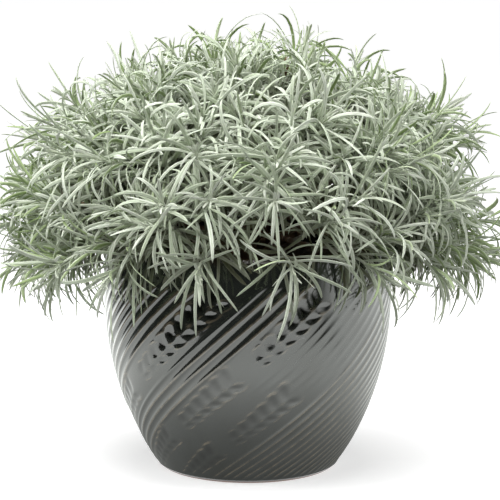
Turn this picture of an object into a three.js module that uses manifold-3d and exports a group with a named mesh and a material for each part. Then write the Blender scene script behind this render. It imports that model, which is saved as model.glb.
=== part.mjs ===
// A licorice plant, a silver narrow-leaved Helichrysum, growing in a round glazed pot.
// Millimetres, +Z up. The origin is on the floor, under the middle of the pot.
// The plant is a woody crown with roots, stems that spread from it, and leafy shoots that
// fork from the stems and fill a dome wider than the pot.
import * as THREE from "three";
import { mergeVertices } from "three/addons/utils/BufferGeometryUtils.js";
import Module from "manifold-3d";

const wasm = await Module();
wasm.setup();

// ---------------------------------------------------------------- driving dimensions

const gap = 0.3; // between pieces that touch

// Pot
const potHeight = 205;
const bellyRadius = 127.5;
const bellyHeight = 168; // where the pot is widest
const rimRadius = 125;
const footRadius = 79;
const bellyFullness = 2.35; // exponent of the wall's curve: a higher one is fuller low down
const potWall = 9;
const potFloor = 14;
const footRingWidth = 14;
const footRecess = 3;
const drainRadius = 9;
const potSides = 40;

// Potting mix
const mixBelowRim = 22;
const mixCrowning = 5; // how much higher the mix is in the middle than at the wall

// Crown and roots
const crownRadius = 26;
const crownRise = 18; // height of its dome above the mix
const rootCount = 7;
const rootSpread = 78; // how far the longer roots reach sideways
const rootDepth = 125; // how far below the top of the mix the deeper ones end
const rootRadius = 6;
const rootTipRadius = 1.2;
const rootRoom = 0.5; // round the crown and the roots in the mix

// Dome of the growing tips: an ellipsoid centred above the rim, cut off below it
const domeRadius = 203;
const domeHeight = 153;
const domeRise = 8; // its centre above the rim
const leafLimitRadius = 228; // no leaf reaches past this from the pot's axis
const leafLimitHeight = 186; // nor higher than this above the dome's centre
const leafLowest = 132; // nor lower than this above the floor

// Stems
const stemRadius = 3.6;
const stemTipRadius = 2.8;
const stemReach = 0.46; // where the stems end, as a part of the way to the dome
const stemRoom = 2; // that a shoot's axis keeps to the rim and to other stems and axes

// Shoots, their side twigs and leaves
const shootRadius = 2;
const twigRadius = 1.5;
const tipRadius = 0.9;
const twigSpread = 33; // between a shoot's tip and its side twigs' tips
const twigSeats = [66, 52]; // where side twigs fork, as distances from the shoot's tip
const leafSeats = [18, 15.6, 5.4, 3]; // where leaves sit, as distances from their twig's tip
const seatLength = 2.4; // along the axis that a twig or a leaf grows from
const leafLength = 46;
const leafWidth = 3.4;
const leafThinness = 0.42; // thickness as a part of width
const leafRoom = 0.8; // that a twig or leaf keeps to all it doesn't grow from

// Where the stems stand around the crown. Tilt is measured from straight up, in degrees, and
// each fork is one shoot: its tilt and turn from the stem, and where along the stem it starts.
const stemRings = [
  {
    stems: 1,
    tilt: 0,
    turn: 0,
    forks: [
      { tilt: 16, turn: 20, at: 1 },
      { tilt: 16, turn: 140, at: 0.85 },
      { tilt: 16, turn: 260, at: 0.7 },
    ],
  },
  {
    stems: 5,
    tilt: 45,
    turn: 8,
    forks: [
      { tilt: -9, turn: 0, at: 1 },
      { tilt: 11, turn: 18, at: 0.84 },
      { tilt: 11, turn: -18, at: 0.68 },
    ],
  },
  {
    stems: 8,
    tilt: 88,
    turn: 22,
    forks: [
      { tilt: -10, turn: 0, at: 1 },
      { tilt: 14, turn: 11.5, at: 0.88 },
      { tilt: 14, turn: -11.5, at: 0.74 },
    ],
  },
];

// ---------------------------------------------------------------- worked-out levels

const mixTop = potHeight - mixBelowRim;
const crownBase = mixTop + mixCrowning; // where the crown comes out of the mix
const crownWaist = mixTop - 18; // where the crown turns into roots
const wallTop = potHeight - potWall / 2; // the lip above it is half round
const domeCentre = new THREE.Vector3(0, 0, potHeight + domeRise);
const goldenTurn = (3 - Math.sqrt(5)) / 2; // of a full turn, between one leaf and the next
const { degToRad, lerp, clamp } = THREE.MathUtils;

// ---------------------------------------------------------------- materials and pieces

const glaze = { color: 0x2a2d29, roughness: 0.18, metalness: 0 };
const mix = { color: 0x2c2019, roughness: 1, metalness: 0 };
const bark = { color: 0x6d5a42, roughness: 0.9, metalness: 0 };
const foliage = { color: 0xaebbaa, roughness: 0.85, metalness: 0 };

const plant = new THREE.Group();

function addPiece(name, geometry, look) {
  const piece = new THREE.Mesh(geometry, new THREE.MeshStandardMaterial(look));
  piece.name = name;
  plant.add(piece);
}

const numbered = (name, number) => `${name}_${String(number).padStart(2, "0")}`;

// A repeatable number from 0 to 1 for each seed.
function scatter(seed) {
  const value = Math.sin(seed * 12.9898 + 4.1414) * 43758.5453;
  return value - Math.floor(value);
}

// ---------------------------------------------------------------- solids

function solidOf(geometry) {
  const bare = new THREE.BufferGeometry();
  bare.setAttribute("position", geometry.getAttribute("position"));
  bare.setIndex(geometry.getIndex());
  const merged = mergeVertices(bare, 1e-4);
  return new wasm.Manifold(
    new wasm.Mesh({
      numProp: 3,
      vertProperties: merged.getAttribute("position").array,
      triVerts: new Uint32Array(merged.getIndex().array),
    }),
  );
}

function geometryOf(solid) {
  const { vertProperties, triVerts } = solid.simplify(0.02).getMesh();
  const geometry = new THREE.BufferGeometry();
  geometry.setAttribute("position", new THREE.BufferAttribute(vertProperties, 3));
  geometry.setIndex(new THREE.BufferAttribute(triVerts, 1));
  return geometry;
}

// three.js turns a profile about Y, and this stands it up along Z.
function lathe(points, sides) {
  return new THREE.LatheGeometry(points, sides).rotateX(Math.PI / 2);
}

// ---------------------------------------------------------------- limbs

// A limb is a tube of flat sides along a curve, with a ring of corners at its start and at each
// station, from above 0 to 1. wide and thick are square to forward, and flatness is the
// thickness as a part of the width. Where a twig or a leaf forks from a limb, its skin starts
// from the corners of one side face, so all that has grown together is one closed skin.
function makeLimb(curve, radiusAt, options = {}) {
  const plain = { sides: 4, stations: evenly(4), flatness: 1, pointed: false, across: squareTo(curve) };
  return { curve, radiusAt, forks: [], ...plain, ...options };
}

const evenly = (count) => Array.from({ length: count }, (_, i) => (i + 1) / count);

const taper = (from, to) => (t) => lerp(from, to, t);

// The direction square to a curve's own plane, or only to its start where it is straight.
function squareTo(curve) {
  const start = curve.getTangent(0);
  const side = start.clone().cross(curve.getTangent(1));
  if (side.length() < 0.05) side.copy(start).cross(new THREE.Vector3(0.31, 0.87, 0.38));
  return side.normalize();
}

// The direction at t that lies a part of a full turn round from wide towards thick.
function directionRound(limb, t, part) {
  const forward = limb.curve.getTangent(t);
  const wide = limb.across.clone().addScaledVector(forward, -limb.across.dot(forward)).normalize();
  return wide.applyAxisAngle(forward, part * 2 * Math.PI);
}

function cornersAt(limb, t) {
  const middle = limb.curve.getPoint(t);
  const wide = directionRound(limb, t, 0);
  const thick = directionRound(limb, t, 0.25);
  return Array.from({ length: limb.sides }, (_, i) => {
    const angle = ((i + 0.5) / limb.sides) * 2 * Math.PI;
    const corner = middle.clone().addScaledVector(wide, Math.cos(angle) * limb.radiusAt(t));
    return corner.addScaledVector(thick, Math.sin(angle) * limb.radiusAt(t) * limb.flatness);
  });
}

// Stations for a limb that has seats for its forks, and its apex last. A seat is given by the
// distance of its upper edge from the limb's tip, and neighbouring seats share an edge.
function stationsWith(seats, curve) {
  const edges = seats.flatMap((top) => [seatPlace(top + seatLength, curve), seatPlace(top, curve)]);
  return [...edges.filter((t, i) => i === 0 || t - edges[i - 1] > 1e-6), 1];
}

const seatPlace = (fromTip, curve) => 1 - fromTip / curve.getLength();

// Sets a limb on the side face of its parent's seat that looks most nearly towards a direction.
function fork(parent, seat, towards, makeChild) {
  const top = seatPlace(seat, parent.curve);
  const segment = parent.stations.findIndex((station) => Math.abs(station - top) < 1e-6);
  const t = (parent.stations[segment] + (parent.stations[segment - 1] ?? 0)) / 2;
  const looks = evenly(parent.sides).map((part) => directionRound(parent, t, part));
  const nearness = looks.map((look) => look.dot(towards));
  const side = nearness.indexOf(Math.max(...nearness));
  const from = parent.curve.getPoint(t).addScaledVector(looks[side], parent.radiusAt(t) * 0.7);
  const across = directionRound(parent, t, (side + 1) / parent.sides - 0.25);
  return { segment, side, limb: makeChild(from, looks[side], parent.curve.getTangent(t), across) };
}

function skinOf(limb) {
  const corners = [];
  const faces = [];
  const addCorners = (points) => points.map((point) => corners.push(...point.toArray()) / 3 - 1);
  const addFace = (ring) => {
    for (let i = 2; i < ring.length; i++)
      if (ring[i] !== ring[i - 1]) faces.push(ring[0], ring[i - 1], ring[i]);
  };
  const clothe = (grown, base) => {
    let ring = base;
    grown.stations.forEach((t, segment) => {
      const isApex = grown.pointed && t === 1;
      const apex = () => new Array(grown.sides).fill(addCorners([grown.curve.getPoint(1)])[0]);
      const next = isApex ? apex() : addCorners(cornersAt(grown, t));
      for (let side = 0; side < grown.sides; side++) {
        const after = (side + 1) % grown.sides;
        const face = [ring[side], ring[after], next[after], next[side]];
        const forked = grown.forks.find((each) => each.segment === segment && each.side === side);
        if (forked) clothe(forked.limb, face);
        else addFace(face);
      }
      ring = next;
    });
    if (!grown.pointed) addFace(ring);
  };
  const start = addCorners(cornersAt(limb, 0));
  addFace([...start].reverse());
  clothe(limb, start);
  const geometry = new THREE.BufferGeometry();
  geometry.setAttribute("position", new THREE.Float32BufferAttribute(corners, 3));
  geometry.setIndex(faces);
  return geometry;
}

// ---------------------------------------------------------------- pot

// Outside radius of the wall: a full curve up to the belly, then a slight draw-in to the rim.
function potRadius(z) {
  if (z <= bellyHeight) {
    const climb = (1 - z / bellyHeight) ** bellyFullness;
    return bellyRadius - (bellyRadius - footRadius) * climb;
  }
  const above = (z - bellyHeight) / (potHeight - bellyHeight);
  return bellyRadius - (bellyRadius - rimRadius) * above ** 2;
}

// The wall is straight between these levels, and so is everything that fits it.
const wallLevels = [0, ...evenly(6).map((part) => part ** 1.2)].map((part) => lerp(potFloor, wallTop, part));

function wallOutline(inset, from, to) {
  const inside = wallLevels.filter((z) => z > from && z < to);
  return [from, ...inside, to].map((z) => {
    const upper = Math.max(1, wallLevels.findIndex((level) => level >= z));
    const [low, high] = [wallLevels[upper - 1], wallLevels[upper]];
    const radius = lerp(potRadius(low), potRadius(high), (z - low) / (high - low));
    return new THREE.Vector2(radius - inset, z);
  });
}

function addPot() {
  const outline = new THREE.Path();
  const ringInside = footRadius - footRingWidth;
  const footRounding = 1.5;
  outline.moveTo(drainRadius, footRecess);
  outline.lineTo(ringInside - footRecess, footRecess);
  outline.lineTo(ringInside, 0);
  outline.lineTo(footRadius - footRounding, 0);
  outline.lineTo(potRadius(footRounding), footRounding);
  for (const { x, y } of wallOutline(0, potFloor, wallTop)) outline.lineTo(x, y);
  const lipMiddle = potRadius(wallTop) - potWall / 2;
  for (const part of [0.25, 0.5, 0.75]) {
    const angle = part * Math.PI;
    outline.lineTo(lipMiddle + (potWall / 2) * Math.cos(angle), wallTop + (potWall / 2) * Math.sin(angle));
  }
  for (const { x, y } of wallOutline(potWall, potFloor, wallTop).reverse()) outline.lineTo(x, y);
  outline.lineTo(drainRadius, potFloor);
  outline.closePath();
  addPiece("pot", lathe(outline.getPoints(), potSides), glaze);
}

// ---------------------------------------------------------------- crown, roots and mix

function crownGeometry(clearance) {
  const radius = crownRadius + clearance;
  const outline = new THREE.Path();
  outline.moveTo(0, crownWaist - clearance);
  outline.lineTo(radius * 0.7, crownWaist - clearance);
  outline.lineTo(radius, mixTop - 6);
  outline.lineTo(radius, crownBase);
  for (const part of evenly(4)) {
    const angle = (part * Math.PI) / 2;
    outline.lineTo(radius * Math.cos(angle), crownBase + (crownRise + clearance) * Math.sin(angle));
  }
  return lathe(outline.getPoints(), 14);
}

// Longer, shallower roots alternate with shorter, deeper ones.
function rootLimb(index, clearance) {
  const turn = (index / rootCount) * 2 * Math.PI;
  const out = new THREE.Vector3(Math.cos(turn), Math.sin(turn), 0);
  const isLong = index % 2 === 1;
  const reach = rootSpread * (isLong ? 1 : 0.7);
  const depth = rootDepth * (isLong ? 0.72 : 1) + clearance;
  const curve = new THREE.QuadraticBezierCurve3(
    new THREE.Vector3(0, 0, crownWaist + 6).addScaledVector(out, 5),
    new THREE.Vector3(0, 0, mixTop - depth * 0.35).addScaledVector(out, reach * 0.85),
    new THREE.Vector3(0, 0, mixTop - depth).addScaledVector(out, reach),
  );
  const sides = 5;
  const toCorner = clearance / Math.cos(Math.PI / sides);
  return makeLimb(curve, taper(rootRadius + toCorner, rootTipRadius + toCorner), { sides });
}

// The crown with its main roots, or, with a clearance, the room that they take in the mix.
function rootStock(clearance) {
  const roots = Array.from({ length: rootCount }, (_, i) => solidOf(skinOf(rootLimb(i, clearance))));
  return wasm.Manifold.union([solidOf(crownGeometry(clearance)), ...roots]);
}

function addCrownAndMix() {
  addPiece("root_crown", geometryOf(rootStock(0)), bark);
  const bottom = potFloor + gap;
  const profile = [new THREE.Vector2(0, bottom), ...wallOutline(potWall + gap, bottom, mixTop)];
  profile.push(new THREE.Vector2(crownRadius * 2, crownBase));
  profile.push(new THREE.Vector2(0, crownBase));
  const packed = solidOf(lathe(profile, potSides));
  addPiece("potting_mix", geometryOf(packed.subtract(rootStock(rootRoom))), mix);
}

// ---------------------------------------------------------------- keeping limbs apart

// Each placed limb is remembered as a string of beads, sorted into cells, so that a new twig or
// leaf can be checked against every limb that is already there.
const beadStep = 2.5;
const cellSize = 12;
const cells = new Map();

const cellOf = (place) => place.toArray().map((v) => Math.floor(v / cellSize));

function beadsOf({ curve, radiusAt, stations }) {
  const beads = [];
  let start = 0;
  for (const end of stations) {
    const from = curve.getPoint(start);
    const to = curve.getPoint(end);
    const count = Math.ceil(from.distanceTo(to) / beadStep);
    for (const part of evenly(count)) {
      const t = lerp(start, end, part - 0.5 / count);
      beads.push({ place: from.clone().lerp(to, part - 0.5 / count), radius: radiusAt(t), t });
    }
    start = end;
  }
  return beads;
}

function remember(limb, owner) {
  for (const bead of beadsOf(limb)) {
    const key = cellOf(bead.place).join();
    if (!cells.has(key)) cells.set(key, []);
    cells.get(key).push({ ...bead, owner, limb });
  }
}

function touchesPot({ place, radius }, room) {
  const fromAxis = Math.hypot(place.x, place.y);
  const reach = radius + room;
  const wall = potRadius(clamp(place.z, 0, potHeight));
  if (place.z > potHeight + reach || fromAxis > wall + reach) return false;
  return fromAxis > wall - potWall - reach || place.z < crownBase + reach;
}

// Whether a limb keeps its room to the pot, the mix and every other limb. Its base may be near
// the limbs of its parent, because it grows from one of them.
function isClear(limb, parent, room) {
  const baseEnd = 0.2;
  return beadsOf(limb).every(({ place, radius, t }) => {
    if (touchesPot({ place, radius }, room)) return false;
    const [x, y, z] = cellOf(place);
    for (let i = x - 1; i <= x + 1; i++)
      for (let j = y - 1; j <= y + 1; j++)
        for (let k = z - 1; k <= z + 1; k++)
          for (const other of cells.get([i, j, k].join()) ?? []) {
            if (other.owner === parent && t < baseEnd) continue;
            if (place.distanceTo(other.place) < radius + other.radius + room) return false;
          }
    return true;
  });
}

// ---------------------------------------------------------------- stems

// The dome's point at a tilt from straight up and a turn about the axis, both in degrees.
function domePoint(tilt, turn, part = 1) {
  const flat = Math.sin(degToRad(tilt)) * domeRadius;
  const point = new THREE.Vector3(
    flat * Math.cos(degToRad(turn)),
    flat * Math.sin(degToRad(turn)),
    Math.cos(degToRad(tilt)) * domeHeight,
  );
  return point.multiplyScalar(part).add(domeCentre);
}

function outwardAt(domePlace) {
  const away = domePlace.clone().sub(domeCentre);
  away.z *= (domeRadius / domeHeight) ** 2;
  return away.normalize();
}

// A stem leaves the crown's dome square to it and bends towards its own part of the plant's dome.
// It has a ring of corners at each fork, so that the shoots there start at its true surface.
function stemLimb(tilt, turn, forks) {
  const lean = degToRad(Math.min(tilt * 0.8, 62));
  const out = new THREE.Vector3(Math.cos(degToRad(turn)), Math.sin(degToRad(turn)), 0);
  const start = new THREE.Vector3(0, 0, crownBase + crownRise * Math.cos(lean));
  start.addScaledVector(out, crownRadius * Math.sin(lean));
  const away = new THREE.Vector3(0, 0, Math.cos(lean) / crownRise);
  away.addScaledVector(out, Math.sin(lean) / crownRadius).normalize();
  start.addScaledVector(away, gap);
  const end = domePoint(tilt, turn, stemReach);
  const bend = start.clone().addScaledVector(away, start.distanceTo(end) * 0.45);
  const curve = new THREE.QuadraticBezierCurve3(start, bend, end);
  const stations = [0.25, 0.5, ...forks.map(({ at }) => at).sort()];
  return makeLimb(curve, taper(stemRadius, stemTipRadius), { sides: 6, stations });
}

// ---------------------------------------------------------------- leafy shoots

// A shoot starts square to the side of its stem, or on its end, and arches to its tip on the
// dome. lift raises the arch, for one that hangs over the rim.
function shootLimb(stem, at, tip, lift) {
  const along = stem.curve.getTangent(at);
  const start = stem.curve.getPoint(at);
  const leave = along.clone();
  if (at < 1) {
    leave.copy(tip).sub(start);
    leave.addScaledVector(along, -leave.dot(along)).normalize();
    start.addScaledVector(leave, stem.radiusAt(at));
  }
  start.addScaledVector(leave, gap);
  const reach = start.distanceTo(tip);
  const off = start.clone().addScaledVector(leave, reach * 0.2);
  const bend = start.clone().lerp(tip, 0.55);
  bend.z += reach * (0.1 + lift);
  const curve = new THREE.CubicBezierCurve3(start, off, bend, tip);
  const stations = stationsWith([...twigSeats, ...leafSeats], curve);
  return makeLimb(curve, taper(shootRadius, tipRadius), { stations, pointed: true });
}

// A side twig forks from the shoot and ends beside its tip, a little inside the dome.
function twigFork(shoot, index, seed) {
  const tip = shoot.curve.getPoint(1);
  const outward = outwardAt(tip);
  const angle = ((index + 0.25) / twigSeats.length) * 2 * Math.PI + scatter(seed) * 1.4;
  const offset = new THREE.Vector3(0, 0, 1).cross(outward).normalize();
  offset.applyAxisAngle(outward, angle).multiplyScalar(twigSpread);
  const end = tip.clone().add(offset).addScaledVector(outward, -twigSpread * 0.25);
  return fork(shoot, twigSeats[index], offset, (from, look, forward, across) => {
    const bend = from.clone().lerp(end, 0.45).addScaledVector(look, twigSpread * 0.15);
    const curve = new THREE.QuadraticBezierCurve3(from, bend, end);
    const stations = stationsWith(leafSeats, curve);
    return makeLimb(curve, taper(twigRadius, tipRadius), { stations, across, pointed: true });
  });
}

// A narrow leaf leaves its twig at an angle, widens to its middle and curls back to a point.
function leafFork(twig, index, seed, length) {
  const rise = index / (leafSeats.length - 1);
  const spread = degToRad(lerp(68, 28, rise) + 12 * (scatter(seed) - 0.5));
  const towards = directionRound(twig, 1, index * goldenTurn);
  return fork(twig, leafSeats[index], towards, (from, look, forward, across) => {
    const side = look.clone().applyAxisAngle(forward, 0.8 * (scatter(seed + 0.4) - 0.5));
    const leave = forward.clone().multiplyScalar(Math.cos(spread)).addScaledVector(side, Math.sin(spread));
    const bend = from.clone().addScaledVector(leave, length * 0.5);
    const tip = from.clone().addScaledVector(leave, length * 0.93).addScaledVector(side, length * 0.12);
    tip.z -= length * 0.14;
    const curve = new THREE.QuadraticBezierCurve3(from, bend, tip);
    const widthAt = (t) => (leafWidth / Math.SQRT2) * (t < 0.5 ? 0.6 + 0.8 * t : 2 - 2 * t);
    const shape = { stations: evenly(2), across, flatness: leafThinness, pointed: true };
    return makeLimb(curve, widthAt, shape);
  });
}

// Whether a limb ends inside the plant's outline.
function endsInside(limb) {
  const tip = limb.curve.getPoint(1);
  const { x, y, z } = tip.clone().sub(domeCentre);
  const reach = Math.hypot(x / leafLimitRadius, y / leafLimitRadius, z / leafLimitHeight);
  return reach <= 1 && tip.z >= leafLowest;
}

// The first of a fork's tries that ends inside the outline and has room joins its parent limb.
function addFork(parent, name, tries) {
  const found = tries.find(({ limb }) => endsInside(limb) && isClear(limb, name, leafRoom));
  if (!found) return [];
  remember(found.limb, name);
  parent.forks.push(found);
  return [found.limb];
}

// One shoot with its side twigs and leaves. A twig that has no room is tried at other angles,
// and a leaf is tried shorter too.
function growShoot(name, axis, seed) {
  const twigs = [axis];
  for (const i of twigSeats.keys()) {
    const tries = evenly(6).map((part) => twigFork(axis, i, seed + i + part));
    twigs.push(...addFork(axis, name, tries));
  }
  for (const [number, twig] of twigs.entries())
    for (const i of leafSeats.keys()) {
      const full = leafLength * (0.9 + 0.25 * scatter(seed + number + 0.13 * i));
      const shares = [1, 1, 0.92, 0.92, 0.84, 0.84, 0.76, 0.76, 0.68, 0.68];
      const tries = shares.map((share, k) => leafFork(twig, i, seed + number + 0.1 * i + k, full * share));
      addFork(twig, name, tries);
    }
  addPiece(name, skinOf(axis), foliage);
}

// A shoot's axis, turned a little aside or arched higher where it would touch something.
function placeAxis(stem, stemName, tilt, turn, at) {
  const lifts = [0, 0.12, 0.24, 0.36, 0.48, 0.6, 0.72];
  const tries = lifts.flatMap((lift) =>
    [0, 4, -4].map((aside) => shootLimb(stem, at, domePoint(tilt, turn + aside), lift)),
  );
  return tries.find((limb) => isClear(limb, stemName, stemRoom)) ?? tries[0];
}

function addStemsAndShoots() {
  const stems = stemRings.flatMap((ring) =>
    evenly(ring.stems).map((part, i) => {
      const turn = ring.turn + part * 360;
      const tilt = ring.tilt && ring.tilt + 6 * (scatter(ring.tilt + i) - 0.5);
      return { limb: stemLimb(tilt, turn, ring.forks), tilt, turn, forks: ring.forks };
    }),
  );
  stems.forEach(({ limb }, i) => {
    remember(limb, numbered("stem", i + 1));
    addPiece(numbered("stem", i + 1), skinOf(limb), bark);
  });
  const axes = [];
  stems.forEach(({ limb, tilt, turn, forks }, i) => {
    for (const way of forks) {
      const axis = placeAxis(limb, numbered("stem", i + 1), tilt + way.tilt, turn + way.turn, way.at);
      axes.push(axis);
      remember(axis, numbered("leafy_shoot", axes.length));
    }
  });
  axes.forEach((axis, i) => growShoot(numbered("leafy_shoot", i + 1), axis, 10 * i));
}

addPot();
addCrownAndMix();
addStemsAndShoots();

export default plant;
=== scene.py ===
"""The looks of the potted licorice plant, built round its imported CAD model.

The plant grows by the CAD model's own rule: stems rise from the crown, and each carries three
shoots that end on a dome. Here every shoot gets all its twigs and leaves, and the pot its relief.
Turns round the pot's axis go from the front on the pot, and from the x axis in the plant.
"""

import math

import bpy
import numpy as np
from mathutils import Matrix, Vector


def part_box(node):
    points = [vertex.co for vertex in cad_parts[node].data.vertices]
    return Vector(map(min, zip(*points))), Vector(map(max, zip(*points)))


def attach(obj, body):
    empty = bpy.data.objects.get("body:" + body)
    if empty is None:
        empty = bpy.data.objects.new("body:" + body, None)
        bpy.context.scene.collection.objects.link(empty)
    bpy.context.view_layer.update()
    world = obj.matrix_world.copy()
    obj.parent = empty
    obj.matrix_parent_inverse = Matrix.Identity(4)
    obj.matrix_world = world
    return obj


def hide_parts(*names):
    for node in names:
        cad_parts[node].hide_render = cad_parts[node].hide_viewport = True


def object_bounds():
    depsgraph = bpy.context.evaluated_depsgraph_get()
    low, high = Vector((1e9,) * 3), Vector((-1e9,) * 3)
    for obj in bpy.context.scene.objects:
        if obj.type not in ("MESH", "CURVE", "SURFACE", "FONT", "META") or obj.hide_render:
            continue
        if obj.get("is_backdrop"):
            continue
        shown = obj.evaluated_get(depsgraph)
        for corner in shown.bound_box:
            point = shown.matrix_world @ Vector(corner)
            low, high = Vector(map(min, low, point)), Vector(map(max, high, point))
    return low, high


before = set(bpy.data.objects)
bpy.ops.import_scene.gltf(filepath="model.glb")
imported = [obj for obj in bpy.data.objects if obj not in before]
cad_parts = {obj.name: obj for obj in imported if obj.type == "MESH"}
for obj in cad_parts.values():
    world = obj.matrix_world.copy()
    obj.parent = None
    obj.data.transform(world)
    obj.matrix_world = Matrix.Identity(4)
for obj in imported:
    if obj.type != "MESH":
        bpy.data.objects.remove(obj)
cad_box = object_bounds()
rng = np.random.default_rng(11)

# ---------------------------------------------------------------- sizes, in metres

MM = 0.001
POT_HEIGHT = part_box("pot")[1].z
BELLY_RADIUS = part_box("pot")[1].x
MIX_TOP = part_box("potting_mix")[1].z
CROWN_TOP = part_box("root_crown")[1].z
CROWN_RADIUS = 26 * MM

# Pot, as in the CAD model
BELLY_HEIGHT = 168 * MM
RIM_RADIUS = 125 * MM
FOOT_RADIUS = 79 * MM
BELLY_FULLNESS = 2.35
POT_WALL = 9 * MM
POT_FLOOR = 14 * MM
FOOT_RING_WIDTH = 14 * MM
FOOT_RECESS = 3 * MM
DRAIN_RADIUS = 9 * MM
FOOT_ROUND = 2 * MM
CORNER_HEIGHT = 8 * MM  # of the round corner between the wall's inside and the pot's floor
CORNER_WIDTH = 12 * MM
CHAMFER = 1 * MM

# Relief on the pot: spiral ribs, and bands of pressed sprigs that run with them
RIB_SLOPE = math.radians(42)
RIB_COUNT = 60
RIB_HEIGHT = 0.75 * MM
LEAFLET_DEPTH = 1.05 * MM
LEAFLET_STEP = 13 * MM
RELIEF_START = 8 * MM  # the height by which the relief has its full depth
RELIEF_END = 188 * MM
RELIEF_FADE = 12 * MM  # below its end
UNEVENNESS = 0.35 * MM  # of the hand-thrown wall
BARE_HEIGHTS = (0.8 * MM, 2.2 * MM)  # between which bare clay meets the glaze, at the foot
GLAZED_UNDERSIDE = 70 * MM  # radius inside which the underside is glazed
BROWN_LIP = 7 * MM  # how far below the top the glaze starts to break brown

# Dome of the growing tips
DOME_RADIUS = 203 * MM
DOME_HEIGHT = 153 * MM
DOME_CENTRE = np.array((0, 0, POT_HEIGHT + 8 * MM))
DOME_EDGE = math.radians(105)  # tilt of its lowest tips
FRONT_EDGE = math.radians(92)  # and where it parts above the rim, at the front
PARTING = math.radians(20)  # how much higher the twigs end where they part before the rim
PARTING_TURN = math.radians(-76)
PARTING_WIDTH = math.radians(24)
TIP_SPACING = 29 * MM
TIP_AREA = 0.87 * TIP_SPACING**2
TIP_STRAY = 0.045  # radians, up or down the dome
TIP_DEPTHS = (-0.26, -0.07, 0.1)  # deepest, mean and highest tips, as shares of the dome
TIP_ROUGHNESS = 0.1  # standard deviation of those depths
MOST_LIFT = 0.7  # of a twig that bends up to clear the rim, in its own lengths
FORK_DISTANCE = 28 * MM  # from a shoot's tip back to the fork of a twig that ends beside it
STEM_REACH = 0.46  # of the way from the dome's centre to its surface
SHOOT_ROOM = 6 * MM  # between the pot's rim and a shoot that arches over it
TWIG_ROOM = 4 * MM
GOLDEN_TURN = math.pi * (3 - math.sqrt(5))

UP = np.array((0.0, 0.0, 1.0))
ASKEW = np.array((0.31, 0.87, 0.38))  # along no stalk, so that turns about any can start from it

# ---------------------------------------------------------------- small vector tools


def unit(v):
    return v / np.maximum(np.linalg.norm(v, axis=-1, keepdims=True), 1e-12)


def wrapped(angle):
    """The same angle from -pi to pi."""
    return (angle + np.pi) % (2 * np.pi) - np.pi


def dot(a, b):
    return (a * b).sum(-1, keepdims=True)


def square_to(v, axis):
    """The part of v that is square to axis, as a unit vector."""
    return unit(v - axis * dot(v, axis))


def turned(v, axis, angle):
    """v, square to axis, turned about it."""
    return v * np.cos(angle) + np.cross(axis, v) * np.sin(angle)


def bezier(points, t):
    """Points at each t on the Bezier curve of these control points."""
    level = [np.asarray(p, float)[None, :] for p in points]
    t = np.asarray(t, float)[:, None]
    while len(level) > 1:
        level = [a * (1 - t) + b * t for a, b in zip(level, level[1:])]
    return level[0]


def smooth(low, high, x):
    part = np.clip((x - low) / (high - low), 0, 1)
    return part * part * (3 - 2 * part)


def mixed(a, b, part):
    return a + (b - a) * part


# ---------------------------------------------------------------- skins and pieces


class Skin:
    """Vertices, faces, per-vertex attributes and a UV cell for each part that is added."""

    def __init__(self):
        self.parts = []

    def add(self, places, faces, corners, **attributes):
        self.parts.append((places, faces, corners, attributes))

    def mesh(self, name):
        places = np.concatenate([p for p, *_ in self.parts])
        faces = []
        maps = []
        across = math.ceil(math.sqrt(len(self.parts)))
        start = 0
        for i, (own, own_faces, corners, _) in enumerate(self.parts):
            faces += [[start + v for v in face] for face in own_faces]
            cell = np.array((i % across, i // across))
            maps.append((cell + 0.04 + 0.92 * corners) / across)
            start += len(own)
        mesh = bpy.data.meshes.new(name)
        mesh.from_pydata(places.tolist(), [], faces)
        mesh.shade_smooth()
        layer = mesh.uv_layers.new(name="OFBake")
        layer.uv.foreach_set("vector", np.concatenate(maps).astype(np.float32).ravel())
        for key in self.parts[0][3]:
            values = [np.broadcast_to(extra[key], len(own)) for own, _, _, extra in self.parts]
            attribute = mesh.attributes.new(key, "FLOAT", "POINT")
            attribute.data.foreach_set("value", np.concatenate(values).astype(np.float32))
        return mesh


def add_piece(name, mesh, material, slot, *nodes):
    piece = bpy.data.objects.new(name, mesh)
    bpy.context.scene.collection.objects.link(piece)
    mesh.materials.clear()
    mesh.materials.append(material)
    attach(piece, "root")
    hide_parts(*nodes)
    return piece


def ring_faces(rings, sides, pointed):
    """Faces and UV corners of a tube of rings, capped at its start, with a point or a cap at its end."""
    faces = [list(range(sides))]
    turn = 2 * np.pi * np.arange(sides) / sides
    rim = np.stack((0.5 + 0.03 * np.cos(turn), 0.03 + 0.03 * np.sin(turn)), 1)
    corners = [rim]
    last = rings - 1
    top = last if not pointed else last + 1
    for j in range(last):
        for i in range(sides):
            k = (i + 1) % sides
            faces.append([j * sides + k, j * sides + i, (j + 1) * sides + i, (j + 1) * sides + k])
            left, right = i / sides, (i + 1) / sides
            low, high = 0.06 + 0.94 * j / top, 0.06 + 0.94 * (j + 1) / top
            corners.append([(right, low), (left, low), (left, high), (right, high)])
    if pointed:
        for i in range(sides):
            k = (i + 1) % sides
            faces.append([last * sides + k, last * sides + i, rings * sides])
            low = 0.06 + 0.94 * last / top
            corners.append([((i + 1) / sides, low), (i / sides, low), ((i + 0.5) / sides, 1)])
    else:
        faces.append([last * sides + i for i in reversed(range(sides))])
        corners.append(rim + (0, 0.9))
    return faces, np.concatenate([np.asarray(c, float) for c in corners])


# ---------------------------------------------------------------- pot profile


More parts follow.
